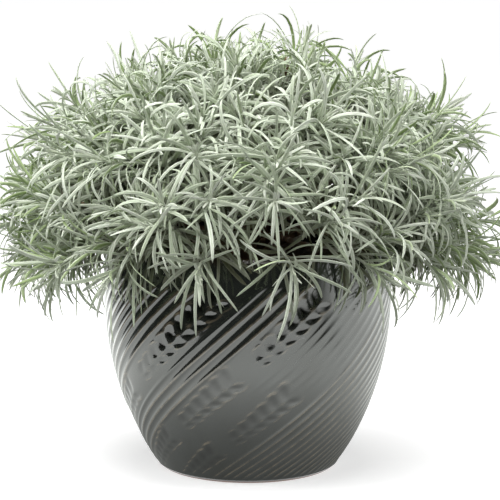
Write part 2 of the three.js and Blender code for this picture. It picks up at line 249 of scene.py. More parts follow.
def pot_radius(z):
    """Outside radius of the wall at each height."""
    z = np.clip(z, 0, POT_HEIGHT)
    below = np.maximum(1 - z / BELLY_HEIGHT, 0)
    above = np.maximum(z - BELLY_HEIGHT, 0) / (POT_HEIGHT - BELLY_HEIGHT)
    low = BELLY_RADIUS - (BELLY_RADIUS - FOOT_RADIUS) * below**BELLY_FULLNESS
    return np.where(z <= BELLY_HEIGHT, low, BELLY_RADIUS - (BELLY_RADIUS - RIM_RADIUS) * above**2)


def spiral_turn(z):
    """How far round a rib has gone at each height, where it climbs the wall at RIB_SLOPE."""
    heights = np.linspace(0, POT_HEIGHT, 400)
    radii = pot_radius(heights)
    climb = np.hypot(1, np.gradient(radii, heights)) / (math.tan(RIB_SLOPE) * radii)
    turn = np.concatenate(([0], np.cumsum((climb[1:] + climb[:-1]) / 2 * np.diff(heights))))
    return np.interp(z, heights, turn)


# ---------------------------------------------------------------- pot

COLUMNS = 600
WALL_ROWS = 133
# Bands round the pot in rib widths, from the left of the front: ribs and pressed sprigs by turns.
# High ribs start above the foot, and foot sprigs have high ribs over them.
BANDS = (
    ("ribs", 7),
    ("sprigs", 3.5),
    ("ribs", 3.5),
    ("sprigs", 3.5),
    ("high_ribs", 1.25),
    ("foot_sprigs", 4.5),
    ("ribs", 15.25),
    ("sprigs", 3.5),
    ("ribs", 3.5),
    ("sprigs", 3.5),
    ("high_ribs", 1.25),
    ("foot_sprigs", 4.5),
    ("ribs", 5.25),
)
FIRST_BAND = math.radians(-167)  # where the first band starts at the foot, from the front
HIGH_RIBS = (84 * MM, 112 * MM)  # heights over which high ribs rise
HIGH_RIB_SHARE = 0.5  # of the other ribs' height
RIB_TURN = 2 * math.pi / RIB_COUNT
RIB_SHARPNESS = 1.5
MEAN_RIB = 0.45  # the level between hollow and crest that lies on the CAD model's wall
BAND_SOFTNESS = 0.025  # radians over which ribs fade on each side of their band's edge
# Where each sprig band's first sprig starts along its rib, and how many pairs its sprigs have.
# Lengths on a sprig are true at the belly and shrink with the pot's radius.
SPRIG_STARTS = ((56 * MM, 9), (24 * MM, 6), (1 * MM, 6))
# Leaflets on a sprig's upper and lower side: side, lean from its axis, length and half width
LEAFLETS = ((1, math.radians(62), 18.5 * MM, 4.7 * MM), (-1, math.radians(40), 14 * MM, 3.4 * MM))
FOOT_SPRIG_TOP = 56 * MM  # foot sprigs start below this height
SPRIG_GAP = 2  # pairs left out between one sprig and the next
FIRST_LENGTH = 0.6  # a sprig's first leaflets have this share of full length
FIRST_WIDTH = 0.75  # and this share of full width
LEAFLET_MIDDLE = 0.56  # where a leaflet's middle is, in its own lengths from the sprig's axis
LEAFLET_BEND = 14  # per metre: how a leaflet curves forward
# A leaflet's level is 1 in its middle and 0 at its outline. Its dish and raised edge go by it.
DISH_EDGE = -0.15
RIDGE_TOP = -0.5
RIDGE_FOOT = -1
RIDGE_HEIGHT = 0.25  # in leaflet depths


def band_edges():
    """(kind, start, end) of each band, as turns from the front at the foot."""
    start = FIRST_BAND
    for kind, ribs in BANDS:
        yield kind, start, start + ribs * RIB_TURN
        start += ribs * RIB_TURN


def past(edge, turn):
    """0 before an edge, 1 past it, and soft between."""
    return smooth(edge - BAND_SOFTNESS, edge + BAND_SOFTNESS, turn)


def rib_relief(turn, height):
    """0 to 1 across each rib, less on high ribs, and 0 outside the ribbed bands."""
    wave = 0.5 + 0.5 * np.cos(2 * np.pi * (turn - FIRST_BAND) / RIB_TURN - np.pi)
    share = np.zeros_like(turn)
    for kind, start, end in band_edges():
        if kind != "sprigs":
            rise = 1 if kind == "ribs" else HIGH_RIB_SHARE * smooth(*HIGH_RIBS, height)
            for shift in (-2 * np.pi, 0, 2 * np.pi):
                past_start, past_end = (past(edge, turn + shift) for edge in (start, end))
                share += rise * (past_start - past_end)
    return wave**RIB_SHARPNESS * share


def press_sprig(relief, along, across, start, pairs):
    """Presses one sprig's leaflets: pairs that point forward and grow larger towards its end."""
    for pair in range(pairs):
        part = (pair + 0.5) / pairs
        for side, lean, full, broad in LEAFLETS:
            size = mixed(FIRST_LENGTH, 1, part) * full
            wide = mixed(FIRST_WIDTH, 1, part) * broad
            ahead = along - (start + pair * LEAFLET_STEP)
            beside = across * side
            out = ahead * math.cos(lean) + beside * math.sin(lean) - size * LEAFLET_MIDDLE
            over = beside * math.cos(lean) - ahead * math.sin(lean) + LEAFLET_BEND * out**2
            level = 1 - (out / (size / 2)) ** 2 - (over / wide) ** 2
            depth = smooth(DISH_EDGE, 1, level) * wide / LEAFLETS[0][3]
            relief[:] = np.where(level > DISH_EDGE, np.minimum(relief, -depth), relief)
            ridge = smooth(RIDGE_FOOT, RIDGE_TOP, level) * (1 - smooth(RIDGE_TOP, DISH_EDGE, level))
            relief[:] = np.where(relief >= 0, np.maximum(relief, RIDGE_HEIGHT * ridge), relief)


def sprig_relief(turn, height):
    """Down to -1 in the pressed leaflets, and above 0 on the edges that stand up round them."""
    lengths = np.interp(height, *rib_length())
    foot_top = np.interp(FOOT_SPRIG_TOP, *rib_length())
    relief = np.zeros_like(turn)
    number = 0
    for kind, start, end in band_edges():
        if "sprigs" not in kind:
            continue
        aside = wrapped(turn - (start + end) / 2) * BELLY_RADIUS
        along = lengths + aside * math.cos(RIB_SLOPE)
        across = -aside * math.sin(RIB_SLOPE)
        first, pairs = SPRIG_STARTS[number % len(SPRIG_STARTS)]
        top = lengths.max() if kind == "sprigs" else foot_top
        while first < top:
            press_sprig(relief, along, across, first, pairs)
            first += (pairs + SPRIG_GAP) * LEAFLET_STEP
        number += 1
    for axis in (0, 1):  # soft edges, as under a thick glaze
        relief = (np.roll(relief, 1, axis) + 2 * relief + np.roll(relief, -1, axis)) / 4
    return relief


def rib_length():
    """Heights, and how long a rib is from the foot up to each, as if the pot were all belly."""
    heights = np.linspace(0, POT_HEIGHT, 400)
    climb = np.hypot(1, np.gradient(pot_radius(heights), heights)) / math.sin(RIB_SLOPE)
    climb *= BELLY_RADIUS / pot_radius(heights)
    return heights, np.concatenate(([0], np.cumsum((climb[1:] + climb[:-1]) / 2 * np.diff(heights))))


def arc(middle_radius, middle_z, radius, start, end, count):
    for angle in np.linspace(start, end, count):
        yield middle_radius + radius * math.cos(angle), middle_z + radius * math.sin(angle)


def pot_profile():
    """(radius, height, share of the ribs' turn) rows, up the outside and down the inside."""
    lip = POT_WALL / 2
    wall_top = POT_HEIGHT - lip
    lip_middle = float(pot_radius(wall_top)) - lip
    rows = []
    for radius, z in arc(FOOT_RADIUS - FOOT_ROUND, FOOT_ROUND, FOOT_ROUND, -math.pi / 2, -0.6, 4):
        rows.append((radius, z, 1))
    for z in np.linspace(FOOT_ROUND * 1.25, wall_top, WALL_ROWS):
        rows.append((float(pot_radius(z)), z, 1))
    for radius, z in list(arc(lip_middle, wall_top, lip, 0, math.pi, 11))[1:]:
        rows.append((radius, z, 1))
    inside = np.linspace(wall_top, POT_FLOOR + CORNER_HEIGHT, 11)[1:]
    corner = float(pot_radius(POT_FLOOR)) - POT_WALL
    under = [(float(pot_radius(z)) - POT_WALL, z) for z in inside]
    under += [(corner - CORNER_WIDTH / 3, POT_FLOOR + CHAMFER), (corner - CORNER_WIDTH, POT_FLOOR)]
    under += [(DRAIN_RADIUS + CHAMFER, POT_FLOOR), (DRAIN_RADIUS, POT_FLOOR - CHAMFER)]
    under += [(DRAIN_RADIUS, FOOT_RECESS + CHAMFER), (DRAIN_RADIUS + CHAMFER, FOOT_RECESS)]
    ring_inside = FOOT_RADIUS - FOOT_RING_WIDTH
    under += [(ring_inside - FOOT_RECESS - CHAMFER, FOOT_RECESS)]
    under += [(ring_inside - CHAMFER, 0.8 * CHAMFER), (ring_inside + CHAMFER, 0)]
    rows += [(radius, z, 1 - (i + 1) / (len(under) + 1)) for i, (radius, z) in enumerate(under)]
    return np.array(rows)


def pot_mesh():
    """The pot as one closed skin, whose columns run with the ribs up the outside."""
    radius, z, share = pot_profile().T
    is_outside = share == 1
    turn = 2 * np.pi * np.arange(COLUMNS) / COLUMNS - np.pi
    spiral = np.where(is_outside, spiral_turn(z), spiral_turn(POT_HEIGHT) * share)
    turns = np.broadcast_to(turn, (len(z), COLUMNS))
    heights = np.broadcast_to(z[:, None], turns.shape)
    fade = smooth(0, RELIEF_START, heights) * (1 - smooth(RELIEF_END - RELIEF_FADE, RELIEF_END, heights))
    fade = np.where(is_outside[:, None], fade, 0)
    ribs = rib_relief(turns, heights) * fade
    sprigs = sprig_relief(turns, heights) * fade
    out = (ribs - MEAN_RIB) * RIB_HEIGHT * fade + sprigs * LEAFLET_DEPTH
    uneven = UNEVENNESS * np.sin(3 * (turns + spiral[:, None]) + 1) * is_outside[:, None]
    radii = radius[:, None] + out + uneven
    angle = turns + spiral[:, None]
    places = np.stack((radii * np.sin(angle), -radii * np.cos(angle), heights), 2).reshape(-1, 3)

    crest = np.maximum(smooth(0.8, 1, ribs), smooth(0.01, 0.09, sprigs))
    lip = smooth(POT_HEIGHT - BROWN_LIP, POT_HEIGHT, heights)
    glazed_under = ~is_outside & (radius < GLAZED_UNDERSIDE)
    bare = np.where(glazed_under[:, None], 0, 1 - smooth(*BARE_HEIGHTS, heights))
    rows = len(z)
    ids = np.arange(rows * COLUMNS).reshape(rows, COLUMNS)
    below, above = ids, np.roll(ids, -1, axis=0)
    quads = np.stack((below, np.roll(below, -1, 1), np.roll(above, -1, 1), above), 2).reshape(-1, 4)
    length = np.hypot(np.diff(radius, append=radius[0]), np.diff(z, append=z[0]))
    level = np.concatenate(([0], np.cumsum(length))) / length.sum()
    left = np.arange(COLUMNS) / COLUMNS
    u0, v0 = np.meshgrid(left, level[:-1])
    u1, v1 = np.meshgrid(left + 1 / COLUMNS, level[1:])
    maps = np.stack((u0, v0, u1, v0, u1, v1, u0, v1), 2).reshape(-1, 2)
    skin = Skin()
    skin.add(
        places,
        quads.tolist(),
        maps,
        crest=crest.ravel(),
        # painted shade: the pressed leaflets' hollows are darkened in colour
        pool=np.clip(-sprigs * 1.6, 0, 1).ravel(),
        lip=lip.ravel(),
        bare=bare.ravel(),
    )
    return skin.mesh("pot_glazed")


# ---------------------------------------------------------------- where the plant grows


def scatter(seed):
    """The CAD model's repeatable number from 0 to 1 for each seed."""
    value = math.sin(seed * 12.9898 + 4.1414) * 43758.5453
    return value - math.floor(value)


def dome_point(tilt, turn, part=1.0):
    """The dome's point at a tilt from straight up and a turn about the axis, in radians."""
    flat = math.sin(tilt) * DOME_RADIUS
    point = np.array((flat * math.cos(turn), flat * math.sin(turn), math.cos(tilt) * DOME_HEIGHT))
    return DOME_CENTRE + point * part


def outward_at(places):
    """The dome's outward direction nearest to each place."""
    return unit((places - DOME_CENTRE) * (1, 1, (DOME_RADIUS / DOME_HEIGHT) ** 2))


# Stems stand round the crown in rings: how many, their tilt and turn in degrees, and their forks.
# A fork is a shoot: its tilt and turn from the stem, and where along the stem it starts.
STEM_RINGS = (
    (1, 0, 0, ((16, 20, 1), (16, 140, 0.85), (16, 260, 0.7))),
    (5, 45, 8, ((-9, 0, 1), (11, 18, 0.84), (11, -18, 0.68))),
    (8, 88, 22, ((-10, 0, 1), (14, 11.5, 0.88), (14, -11.5, 0.74))),
)


def stem_curve(tilt, turn):
    """A stem leaves the crown square to its surface and bends to its place inside the dome."""
    lean = min(tilt * 0.8, math.radians(62))
    out = np.array((math.cos(turn), math.sin(turn), 0))
    rise = CROWN_TOP - MIX_TOP
    start = np.array((0, 0, MIX_TOP + rise * math.cos(lean))) + out * CROWN_RADIUS * math.sin(lean)
    away = unit(UP * math.cos(lean) / rise + out * math.sin(lean) / CROWN_RADIUS)
    end = dome_point(tilt, turn, STEM_REACH)
    bend = start + away * np.linalg.norm(end - start) * 0.45
    return [start, bend, end]


def touches_rim(points, room):
    """Whether any of these points is in the rim, or closer to it than this room."""
    away = np.hypot(points[:, 0], points[:, 1])
    return bool(((points[:, 2] < POT_HEIGHT + room) & (away > BELLY_RADIUS - POT_WALL - room)
                 & (away < BELLY_RADIUS + room)).any())


def edge_tilt(turn):
    """Tilt of the dome's lowest tips at each turn. The front is at a turn of -90 degrees."""
    front = np.maximum(-np.sin(turn), 0) ** 2
    return mixed(DOME_EDGE, FRONT_EDGE, front)


def shoot_curve(stem, at, tip):
    """A shoot starts square to the side of its stem and arches over the rim to its tip."""
    start = bezier(stem, [at])[0]
    along = unit(bezier(stem, [min(at + 0.01, 1)])[0] - bezier(stem, [at - 0.01])[0])
    leave = square_to(tip - start, along) if at < 1 else along
    reach = np.linalg.norm(tip - start)
    for lift in np.arange(0, 0.8, 0.06):
        bend = start + (tip - start) * 0.55 + UP * reach * (0.1 + lift)
        curve = [start, start + leave * reach * 0.2, bend, tip]
        if not touches_rim(bezier(curve, np.linspace(0, 1, 40)), SHOOT_ROOM):
            break
    return curve


def grow_frame():
    """The stems' curves and the shoots' curves, in the order of the CAD model's nodes."""
    stems = []
    shoots = []
    for count, ring_tilt, ring_turn, forks in STEM_RINGS:
        for i in range(count):
            turn = math.radians(ring_turn + (i + 1) / count * 360)
            tilt = math.radians(ring_tilt + 6 * (scatter(ring_tilt + i) - 0.5)) if ring_tilt else 0
            stem = stem_curve(tilt, turn)
            stems.append(stem)
            for more_tilt, more_turn, at in forks:
                tip_turn = turn + math.radians(more_turn)
                tip_tilt = min(tilt + math.radians(more_tilt), edge_tilt(tip_turn))
                shoots.append(shoot_curve(stem, at, dome_point(tip_tilt, tip_turn)))
    return stems, shoots


def dome_tips():
    """Growing tips spread evenly over the dome, each a little out of place."""
    tilts = np.linspace(0, DOME_EDGE, 300)
    slant = np.hypot(DOME_RADIUS * np.cos(tilts), DOME_HEIGHT * np.sin(tilts))
    rate = 2 * np.pi * DOME_RADIUS * np.sin(tilts) * slant
    area = np.concatenate(([0], np.cumsum((rate[1:] + rate[:-1]) / 2 * np.diff(tilts))))
    count = int(area[-1] / TIP_AREA)
    tilt = np.interp((np.arange(count) + 0.5) / count * area[-1], area, tilts)
    tilt += rng.normal(0, TIP_STRAY, count)
    turn = np.arange(count) * GOLDEN_TURN + rng.normal(0, 0.05, count) / np.maximum(np.sin(tilt), 0.2)
    deepest, mean, highest = TIP_DEPTHS
    part = 1 + rng.normal(mean, TIP_ROUGHNESS, count).clip(deepest, highest)
    parting = PARTING * np.exp(-((wrapped(turn - PARTING_TURN) / PARTING_WIDTH) ** 2))
    grows = tilt < edge_tilt(turn) - parting
    return np.array([dome_point(*each) for each in zip(tilt[grows], turn[grows], part[grows])])


def twig_curve(shoot, tip):
    """A twig forks from its shoot below the tip and bends out to its own tip."""
    path = bezier(shoot, np.linspace(0, 1, 60))
    apart = np.linalg.norm(path[-1] - tip)
    left = np.linalg.norm(np.diff(path, axis=0), axis=1)[::-1].cumsum()[::-1]
    want = min(FORK_DISTANCE + 1.05 * apart, left[3])
    at = int(np.argmin(abs(left - want)))
    along = unit(path[at + 1] - path[at])
    start = path[at]
    reach = np.linalg.norm(tip - start)
    outward = outward_at(tip)
    lift = 0
    while True:
        bend = start + along * reach * 0.35 + UP * reach * lift
        late = tip - outward * reach * 0.3 + UP * reach * (0.08 + lift)
        curve = [start, bend, late, tip]
        if lift > MOST_LIFT or not touches_rim(bezier(curve, np.linspace(0, 1, 30)), TWIG_ROOM):
            return curve
        lift += 0.1


# ---------------------------------------------------------------- leaves

SHOOT_LEAVES = (30, 80 * MM)  # how many, and along how much of the axis below its tip
TWIG_LEAVES = (27, 74 * MM)
CROWDING = 1.35  # how much closer leaves sit towards the tip
# For each of these, a leaf in a tip's tuft and one full grown
SPREAD = (0.1, 0.5)  # radians from the axis
LENGTH = (15 * MM, 57 * MM)
WIDTH = (1.9 * MM, 3.1 * MM)
CURL = (0.1, 1.3)  # radians along the blade
DROOP = (0.1, 0.85)
GROWING = (-1 * MM, 17 * MM)  # distances from the tip over which leaves grow up
# What age adds to a leaf by the end of the leafy part
AGE_SPREAD, AGE_DROOP, AGE_SHRINKING = 0.42, 0.25, 0.12
DRY_SHARE = 0.05  # of the oldest leaves
# Standard deviations, in radians or as shares of length, width and droop
STRAYS = {
    "turn": 0.2,
    "spread": 0.16,
    "length": 0.13,
    "width": 0.13,
    "curl": 0.55,
    "droop": 0.5,
    "swerve": 0.5,
    "twist": 0.35,
    "roll": 0.3,
}
BASE_OFFSET = 0.8 * MM  # of a blade's base from the stalk's middle
LEAST_HALF_WIDTH = 0.35 * MM  # that a blade's thickness goes by, so that its tip stays solid
THICKNESS = 1.15

STATIONS = np.array((0, 0.1, 0.22, 0.36, 0.5, 0.64, 0.77, 0.87, 0.95, 1))
RING_STATIONS = len(STATIONS) - 1
# One blade's section, as (across, up) parts of half its width: a shallow groove along the middle
# of the upper face, rolled edges, and a rounded midrib below.
SECTION = np.array(
    ((1, 0.02), (0.62, 0.2), (0, 0.06), (-0.62, 0.2), (-1, 0.02), (-0.6, -0.17), (0, -0.3), (0.6, -0.17))
)
# How much of the underside's colour (partly its own, partly painted shade and light through the leaf),
# and of the groove's, each of those points has
UNDER = np.array((0.4, 0, 0, 0, 0.4, 1, 1, 1))
GROOVE = np.array((0.25, 0, 1, 0, 0.25, 0, 0.6, 0))
BLADE_FACES, BLADE_CORNERS = ring_faces(RING_STATIONS, len(SECTION), True)


def width_along(part):
    """Width of a blade from its base to its tip: narrow base, even middle, tapered end."""
    end = np.clip((part - 0.55) / 0.45, 0, 1)
    return (0.5 + 0.5 * smooth(0, 0.35, part)) * np.sqrt(np.maximum(1 - end**2.3, 0))


def blade_paths(base, heading, facing, length, curl, droop, swerve):
    """Middle line and upward directions of many blades at once."""
    along, up = heading, square_to(facing, heading)
    places, headings, ups = [base], [along], [up]
    for step, part in zip(np.diff(STATIONS), STATIONS[:-1]):
        ahead = (step * length)[:, None]
        places.append(places[-1] + along * ahead)
        bend = (curl * step * (0.5 + part))[:, None]
        along, up = along * np.cos(bend) - up * np.sin(bend), up * np.cos(bend) + along * np.sin(bend)
        aside = np.cross(along, up)
        along = along + aside * (swerve * step)[:, None] - UP * (droop * step * (0.4 + part))[:, None]
        along = unit(along)
        up = square_to(up, along)
        headings.append(along)
        ups.append(up)
    return np.stack(places, 1), np.stack(headings, 1), np.stack(ups, 1)


PAST_CAD = 19 * MM  # how far past the CAD model's box a leaf may reach
# Room that leaves keep from the pot's top, outside and inside, and from the potting mix
TOP_ROOM, OUTSIDE_ROOM, INSIDE_ROOM, MIX_ROOM = 1.5 * MM, 2.5 * MM, 2 * MM, 1 * MM


def hits_pot(paths):
    """Which blades would run into the pot's wall or the potting mix."""
    away, z = np.hypot(paths[..., 0], paths[..., 1]), paths[..., 2]
    wall = pot_radius(z)
    by_wall = (away < wall + OUTSIDE_ROOM) & (away > wall - POT_WALL - INSIDE_ROOM)
    in_wall = by_wall & (z < POT_HEIGHT + TOP_ROOM)
    in_mix = (z < MIX_TOP + MIX_ROOM) & (away < wall)
    return (in_wall | in_mix).any(1)


def leaves_box(paths):
    """Which blades would reach too far past the CAD model's box."""
    low, high = (np.array(corner) for corner in cad_box)
    return ((paths < low - PAST_CAD) | (paths > high + PAST_CAD)).any((1, 2))


def leaf_places(curve, count, covered):
    """Where leaves sit along an axis, newest at its tip: place, axis direction and distance."""
    path = bezier(curve, np.linspace(0, 1, 80))
    steps = np.linalg.norm(np.diff(path, axis=0), axis=1)
    left = np.concatenate((steps[::-1].cumsum()[::-1], [0]))
    from_tip = np.minimum(covered, left[2]) * (np.arange(count) / count) ** CROWDING
    t = np.interp(from_tip, left[::-1], np.linspace(0, 1, 80)[::-1])
    along = unit(bezier(curve, np.minimum(t + 0.01, 1)) - bezier(curve, t - 0.01))
    return bezier(curve, t), along, from_tip


def stray(measure, count):
    return rng.normal(0, STRAYS[measure], count)


def add_leaves(skin, curve, count, covered, vigour):
    """The leaves of one twig, in a golden spiral up to a tuft of short pale ones at its tip."""
    place, along, from_tip = leaf_places(curve, count, covered)
    grown = smooth(*GROWING, from_tip)
    age = from_tip / covered
    turn = np.arange(count) * GOLDEN_TURN + rng.uniform(0, 6.28) + stray("turn", count)
    side = square_to(np.broadcast_to(ASKEW, along.shape), along)
    out = turned(side, along, turn[:, None])
    spread = mixed(*SPREAD, grown**0.8) + AGE_SPREAD * age + stray("spread", count)
    heading = along * np.cos(spread)[:, None] + out * np.sin(spread)[:, None]
    facing = along * np.sin(spread)[:, None] - out * np.cos(spread)[:, None]
    length = mixed(*LENGTH, grown) * vigour * (1 + stray("length", count))
    length = length * (1 - AGE_SHRINKING * age)
    width = mixed(*WIDTH, grown) * (1 + stray("width", count))
    curl = mixed(*CURL, grown) + stray("curl", count)
    droop = mixed(*DROOP, grown) * (1 + stray("droop", count)) + AGE_DROOP * age
    swerve = stray("swerve", count)
    twist = stray("twist", count)
    roll = stray("roll", count)
    tone = rng.uniform(0, 1, count)
    dry = rng.uniform(0, 1, count) < DRY_SHARE * smooth(0.6, 1, age)
    base = place + out * BASE_OFFSET
    paths, headings, ups = blade_paths(base, heading, facing, length, curl, droop, swerve)
    lost = hits_pot(paths) | leaves_box(paths)
    part = STATIONS[:RING_STATIONS]
    turning = (roll[:, None] + twist[:, None] * part)[..., None]
    ups = turned(ups[:, :RING_STATIONS], headings[:, :RING_STATIONS], turning)
    across = np.cross(headings[:, :RING_STATIONS], ups)
    half = width[:, None] / 2 * width_along(part)
    for i in np.flatnonzero(~lost):
        wide = half[i][:, None, None]
        thick = np.maximum(wide, LEAST_HALF_WIDTH)
        rings = paths[i, :RING_STATIONS, None] + across[i][:, None] * SECTION[None, :, :1] * wide
        rings = rings + ups[i][:, None] * SECTION[None, :, 1:] * thick * THICKNESS
        places = np.concatenate((rings.reshape(-1, 3), paths[i, -1:]))
        sides = len(SECTION)
        reach = np.linalg.norm((places - DOME_CENTRE) / (DOME_RADIUS, DOME_RADIUS, DOME_HEIGHT), axis=1)
        skin.add(
            places,
            BLADE_FACES,
            BLADE_CORNERS,
            tone=tone[i],
            young=1 - grown[i],
            dry=float(dry[i]),
            under=np.append(np.tile(UNDER, RING_STATIONS), 0.5),
            groove=np.append(np.tile(GROOVE, RING_STATIONS), 0),
            along=np.append(np.repeat(part, sides), 1),
            # painted shade: the deeper inside the plant, the darker the leaf's colour
            inner=1 - smooth(0.66, 0.99, reach),
        )


# ---------------------------------------------------------------- stalks

# Radii at a stalk's start and end
STEM_RADII = (3.8 * MM, 2.7 * MM)
SHOOT_RADII = (2.1 * MM, 0.9 * MM)
TWIG_RADII = (1.5 * MM, 0.8 * MM)


def add_tube(skin, points, radii, sides, **attributes):
    """A capped tube along these points, with a ring at each."""
    along = unit(np.gradient(points, axis=0))
    side = square_to(ASKEW, along[0])
    rings = []
    turn = (2 * np.pi * np.arange(sides) / sides)[:, None]
    for place, ahead, radius in zip(points, along, radii):
        side = square_to(side, ahead)
        other = np.cross(ahead, side)
        rings.append(place + (side * np.cos(turn) - other * np.sin(turn)) * radius)
    faces, corners = ring_faces(len(points), sides, False)
    values = {key: np.repeat(value, sides) for key, value in attributes.items()}
    skin.add(np.concatenate(rings), faces, corners, **values)


def add_stalk(skin, curve, thick, thin, old, young):
    """A felted stalk that thins to its tip. old and young are its bark's age at both ends."""
    count = 16
    t = np.linspace(0, 1, count)
    radii = mixed(thick, thin, t) * (1 + 0.08 * np.sin(t * 31 + thick * 9e4))
    add_tube(skin, bezier(curve, t), radii, 7, age=mixed(old, young, t))


# ---------------------------------------------------------------- materials


class Nodes:
    """A material's node tree, with short calls for the nodes used here."""

    def __init__(self, name, **fixed):
        self.material = bpy.data.materials.new(name)
        self.material.use_nodes = True
        self.tree = self.material.node_tree
        self.shader = self.tree.nodes["Principled BSDF"]
        for socket, value in fixed.items():
            self.shader.inputs[socket.replace("_", " ")].default_value = value

    def node(self, kind, **settings):
        node = self.tree.nodes.new(kind)
        for key, value in settings.items():
            setattr(node, key, value)
        return node

    def link(self, source, socket):
        self.tree.links.new(source, socket)

    def put(self, socket, value):
        if hasattr(value, "links"):
            self.link(value, socket)
        elif isinstance(value, tuple):
            socket.default_value = (*value, 1) if len(socket.default_value) == 4 else value
        else:
            socket.default_value = value

    def value(self, name):
        return self.node("ShaderNodeAttribute", attribute_name=name).outputs["Fac"]

    def noise(self, scale, detail=3.0, stretch=(1, 1, 1)):
        place = self.node("ShaderNodeTexCoord").outputs["Object"]
        mapping = self.node("ShaderNodeMapping")
        mapping.inputs["Scale"].default_value = stretch
        self.link(place, mapping.inputs["Vector"])
        noise = self.node("ShaderNodeTexNoise")
        noise.inputs["Scale"].default_value = scale
        noise.inputs["Detail"].default_value = detail
        self.link(mapping.outputs["Vector"], noise.inputs["Vector"])
        return noise.outputs["Fac"]

    def mix(self, factor, a, b, blend="MIX"):
        mix = self.node("ShaderNodeMix", data_type="RGBA", blend_type=blend)
        self.put(mix.inputs["Factor"], factor)
        self.put(mix.inputs[6], a)
        self.put(mix.inputs[7], b)
        return mix.outputs[2]

    def span(self, value, low, high, to_low=0.0, to_high=1.0):
        node = self.node("ShaderNodeMapRange")
        self.put(node.inputs["Value"], value)
        for socket, number in zip(node.inputs[1:5], (low, high, to_low, to_high)):
            socket.default_value = number
        return node.outputs["Result"]

    def maths(self, operation, a, b):
        node = self.node("ShaderNodeMath", operation=operation)
        self.put(node.inputs[0], a)
        self.put(node.inputs[1], b)
        return node.outputs[0]

    def bump(self, height, distance, strength):
        node = self.node("ShaderNodeBump")
        node.inputs["Distance"].default_value = distance
        node.inputs["Strength"].default_value = strength
        self.link(height, node.inputs["Height"])
        self.link(node.outputs["Normal"], self.shader.inputs["Normal"])

    def colour(self, source):
        self.link(source, self.shader.inputs["Base Color"])

    def roughness(self, source):
        self.link(source, self.shader.inputs["Roughness"])


def leaf_material():
    """Silver felt over green: palest on new leaves, greener in the groove, greener and darker below with
    painted shade and light through the leaf, and darkened deep in the plant by painted shade.
    """
    n = Nodes("silver_leaf", Roughness=0.78, IOR=1.4, Sheen_Weight=0.18, Sheen_Roughness=0.45)
    tone = n.value("tone")
    above = n.mix(tone, (0.52, 0.58, 0.45), (0.83, 0.87, 0.78))
    # The underside's colour is partly its own and partly painted: darker and greener, as shade and light
    # through the leaf make it look.
    below = n.mix(tone, (0.23, 0.32, 0.11), (0.46, 0.56, 0.31))
    face = n.mix(n.value("under"), above, below)
    face = n.mix(n.span(n.value("groove"), 0, 1, 0, 0.5), face, (0.25, 0.34, 0.16))
    face = n.mix(n.span(n.value("young"), 0, 1, 0, 0.6), face, (0.76, 0.79, 0.7))
    face = n.mix(n.span(n.value("along"), 0.25, 0, 0, 0.25), face, (0.6, 0.65, 0.5))
    felt = n.span(n.noise(1400, 2), 0.3, 0.7, 0, 1)
    face = n.mix(0.16, face, n.mix(felt, (0.0, 0.0, 0.0), (1, 1, 1)), "SOFT_LIGHT")
    face = n.mix(n.value("dry"), face, n.mix(tone, (0.2, 0.11, 0.05), (0.34, 0.24, 0.13)))
    # Painted shade: leaves deep in the plant get a darker colour, on top of their real shadow.
    face = n.mix(n.value("inner"), face, n.mix(1.0, face, (0.17, 0.16, 0.09), "MULTIPLY"))
    n.colour(face)
    n.bump(n.noise(2600, 2), 0.0002, 0.35)
    return n.material


def stalk_material():
    n = Nodes("felted_stalk", Roughness=0.85, Sheen_Weight=0.15, Sheen_Roughness=0.5)
    age = n.maths("ADD", n.value("age"), n.span(n.noise(160, 3), 0.3, 0.7, -0.2, 0.2))
    felt = n.mix(n.noise(1200, 2), (0.42, 0.47, 0.36), (0.58, 0.61, 0.5))
    bark = n.mix(n.noise(500, 4), (0.1, 0.055, 0.03), (0.3, 0.19, 0.11))
    n.colour(n.mix(n.span(age, 0.35, 0.75), felt, bark))
    n.bump(n.noise(900, 3), 0.0004, 0.6)
    return n.material


def bark_material():
    n = Nodes("woody_bark", Roughness=0.9)
    fibres = n.noise(220, 6, (1, 1, 0.25))
    n.colour(n.mix(n.span(fibres, 0.35, 0.7), (0.06, 0.032, 0.018), (0.3, 0.2, 0.12)))
    n.bump(fibres, 0.0015, 0.8)
    return n.material


def mix_material():
    n = Nodes("potting_mix", Roughness=0.95)
    grains = n.noise(420, 8)
    wood = n.mix(n.span(grains, 0.3, 0.6), (0.012, 0.008, 0.006), (0.085, 0.05, 0.03))
    n.colour(n.mix(n.span(n.noise(230, 1), 0.68, 0.74), wood, (0.35, 0.32, 0.27)))
    n.bump(grains, 0.003, 1.0)
    return n.material


def glaze_material():
    """Near-black glaze: darkest in the hollows by painted shade, brown on crests and lip, none at the
    foot.
    """
    n = Nodes("dark_glaze", IOR=1.9, Coat_Weight=1.0, Coat_Roughness=0.03, Coat_IOR=1.75)
    cloud = n.span(n.noise(26, 4), 0.32, 0.68)
    dark = n.mix(cloud, (0.03, 0.034, 0.026), (0.056, 0.064, 0.058))
    # Painted shade: the pressed hollows get a darker colour.
    dark = n.mix(n.value("pool"), dark, (0.006, 0.007, 0.005))
    thin = n.mix(n.noise(90, 4), (0.19, 0.145, 0.09), (0.48, 0.4, 0.28))
    broken = n.span(n.noise(150, 5), 0.3, 0.7, 0.25, 0.9)
    face = n.mix(n.maths("MULTIPLY", n.value("crest"), broken), dark, thin)
    lip = n.maths("MULTIPLY", n.value("lip"), n.span(broken, 0, 1, 0.3, 0.9))
    face = n.mix(lip, face, (0.1, 0.045, 0.018))
    clay = n.mix(n.noise(300, 5), (0.13, 0.05, 0.027), (0.23, 0.1, 0.055))
    n.colour(n.mix(n.value("bare"), face, clay))
    n.roughness(n.span(n.value("bare"), 0, 1, 0.1, 0.85))
    n.bump(n.noise(60, 2), 0.0012, 0.12)
    return n.material


